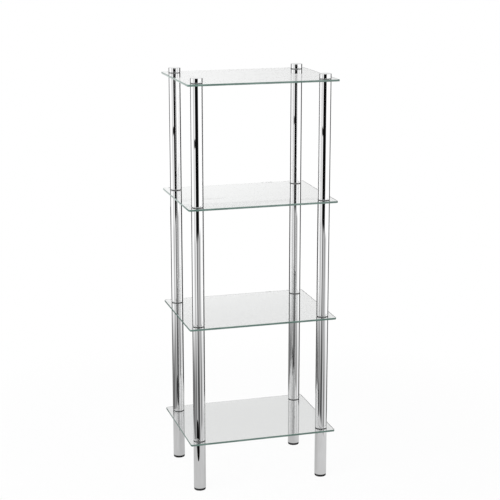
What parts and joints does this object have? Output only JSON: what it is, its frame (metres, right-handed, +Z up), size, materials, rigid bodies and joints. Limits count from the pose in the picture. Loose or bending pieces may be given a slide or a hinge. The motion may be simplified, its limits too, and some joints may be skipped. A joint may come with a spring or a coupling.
{
  "type": "glass shelving unit",
  "caption": "Free-standing glass shelving unit: rectangular clear glass shelves clamped between round chromed post tubes, with chrome caps on top and black levelling feet.",
  "frame": {"origin": "middle of the footprint, on the floor under the feet", "axes": "+Z up along the posts; +X along the shelves' width, to the right seen from the front; +Y along their depth, towards the back"},
  "size_m": [0.4, 0.3, 1.1],
  "materials": {
    "glass": "clear toughened glass, polished green edges",
    "chrome": "bright chrome plate on steel tube",
    "stud_steel": "zinc-plated steel thread",
    "nut_steel": "zinc-plated steel",
    "washer_plastic": "soft clear plastic",
    "glide_plastic": "moulded black plastic, slightly textured"
  },
  "bodies": {
    "shelf_unit": {"bottom_shelf": "glass", "lower_shelf": "glass", "upper_shelf": "glass", "top_shelf": "glass", "leg_front_left": "chrome", "leg_front_right": "chrome", "leg_back_left": "chrome", "leg_back_right": "chrome", "lower_tube_front_left": "chrome", "lower_tube_front_right": "chrome", "lower_tube_back_left": "chrome", "lower_tube_back_right": "chrome", "middle_tube_front_left": "chrome", "middle_tube_front_right": "chrome", "middle_tube_back_left": "chrome", "middle_tube_back_right": "chrome", "upper_tube_front_left": "chrome", "upper_tube_front_right": "chrome", "upper_tube_back_left": "chrome", "upper_tube_back_right": "chrome", "cap_front_left": "chrome", "cap_front_right": "chrome", "cap_back_left": "chrome", "cap_back_right": "chrome", "bottom_shelf_bushes": "washer_plastic", "lower_shelf_bushes": "washer_plastic", "upper_shelf_bushes": "washer_plastic", "top_shelf_bushes": "washer_plastic", "bottom_shelf_washers": "washer_plastic", "lower_shelf_washers": "washer_plastic", "upper_shelf_washers": "washer_plastic", "top_shelf_washers": "washer_plastic", "bottom_shelf_studs": "stud_steel", "lower_shelf_studs": "stud_steel", "upper_shelf_studs": "stud_steel", "top_shelf_studs": "stud_steel", "leg_foot_nuts": "nut_steel", "leg_top_nuts": "nut_steel", "lower_tube_bottom_nuts": "nut_steel", "lower_tube_top_nuts": "nut_steel", "middle_tube_bottom_nuts": "nut_steel", "middle_tube_top_nuts": "nut_steel", "upper_tube_bottom_nuts": "nut_steel", "upper_tube_top_nuts": "nut_steel"},
    "foot_front_left": {"glide_front_left": "glide_plastic", "foot_stud_front_left": "stud_steel"},
    "foot_front_right": {"glide_front_right": "glide_plastic", "foot_stud_front_right": "stud_steel"},
    "foot_back_left": {"glide_back_left": "glide_plastic", "foot_stud_back_left": "stud_steel"},
    "foot_back_right": {"glide_back_right": "glide_plastic", "foot_stud_back_right": "stud_steel"}
  },
  "joints": [
    {"name": "foot_front_left_screw", "type": "slide", "parent": "shelf_unit", "child": "foot_front_left", "axis": [0, 0, -1], "range_m": [0, 0.01]},
    {"name": "foot_front_right_screw", "type": "slide", "parent": "shelf_unit", "child": "foot_front_right", "axis": [0, 0, -1], "range_m": [0, 0.01]},
    {"name": "foot_back_left_screw", "type": "slide", "parent": "shelf_unit", "child": "foot_back_left", "axis": [0, 0, -1], "range_m": [0, 0.01]},
    {"name": "foot_back_right_screw", "type": "slide", "parent": "shelf_unit", "child": "foot_back_right", "axis": [0, 0, -1], "range_m": [0, 0.01]}
  ]
}
